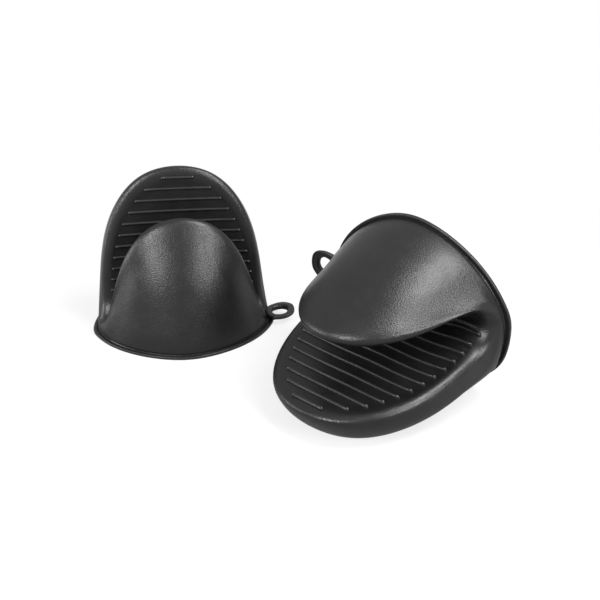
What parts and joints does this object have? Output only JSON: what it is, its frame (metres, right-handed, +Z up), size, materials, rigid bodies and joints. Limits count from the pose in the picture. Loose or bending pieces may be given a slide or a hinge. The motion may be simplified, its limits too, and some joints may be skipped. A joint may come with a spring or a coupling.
{
  "type": "pair of silicone pinch mitts",
  "caption": "Pair of silicone pinch mitts, each a cup with a long finger pocket and a shorter thumb pocket joined by a flexing fold, ribbed inside, with a raised cuff rim and a hanging loop.",
  "frame": {"origin": "centre of the pair's overall box, level with the surface that it stands on", "axes": "+X from the standing mitt to the lying one, -Y the way that the lying mitt's tips point, +Z up"},
  "size_m": [0.2574, 0.117, 0.1032],
  "materials": {
    "rubber_skin": "semi-matte silicone with a fine pebbled grain",
    "grip_ribs": "smoother silicone with a soft sheen"
  },
  "bodies": {
    "lying_fingers": {"lying_finger_pocket": "rubber_skin", "lying_finger_ribs": "grip_ribs", "lying_finger_cuff_rim": "rubber_skin", "lying_fold_web": "rubber_skin", "lying_web_cuff_rim": "rubber_skin"},
    "lying_thumb": {"lying_thumb_pocket": "rubber_skin", "lying_thumb_ribs": "grip_ribs", "lying_thumb_cuff_rim": "rubber_skin"},
    "lying_loop": {"lying_hanging_loop": "rubber_skin"},
    "standing_fingers": {"standing_finger_pocket": "rubber_skin", "standing_finger_ribs": "grip_ribs", "standing_finger_cuff_rim": "rubber_skin", "standing_fold_web": "rubber_skin", "standing_web_cuff_rim": "rubber_skin"},
    "standing_thumb": {"standing_thumb_pocket": "rubber_skin", "standing_thumb_ribs": "grip_ribs", "standing_thumb_cuff_rim": "rubber_skin"},
    "standing_loop": {"standing_hanging_loop": "rubber_skin"}
  },
  "joints": [
    {"name": "lying_thumb_pinch", "type": "hinge", "parent": "lying_fingers", "child": "lying_thumb", "pos_m": [0.0703, 0.04263, 0.04724], "axis": [1, 0, 0], "range_deg": [-30, 19], "stiffness_Nm_per_rad": 1, "deforming": ["lying_fold_web", "lying_web_cuff_rim"]},
    {"name": "lying_loop_flex", "type": "hinge", "parent": "lying_fingers", "child": "lying_loop", "pos_m": [0.015, 0.04128, 0.04949], "axis": [0, -0.2284, 0.9736], "range_deg": [0, 60], "stiffness_Nm_per_rad": 0.02},
    {"name": "standing_thumb_pinch", "type": "hinge", "parent": "standing_fingers", "child": "standing_thumb", "pos_m": [-0.0718, -0.0055, 0.005], "axis": [-0.5962, -0.8028, 0], "range_deg": [-30, 19], "stiffness_Nm_per_rad": 1, "deforming": ["standing_fold_web", "standing_web_cuff_rim"]},
    {"name": "standing_loop_flex", "type": "hinge", "parent": "standing_fingers", "child": "standing_loop", "pos_m": [-0.03682, 0.03741, 0.0058], "axis": [0.8028, -0.5962, 0], "range_deg": [0, 60], "stiffness_Nm_per_rad": 0.02},
    {"name": "standing_lift", "type": "slide", "parent": "lying_fingers", "child": "standing_fingers", "axis": [0, 0, 1], "range_m": [0, 0.12]}
  ]
}
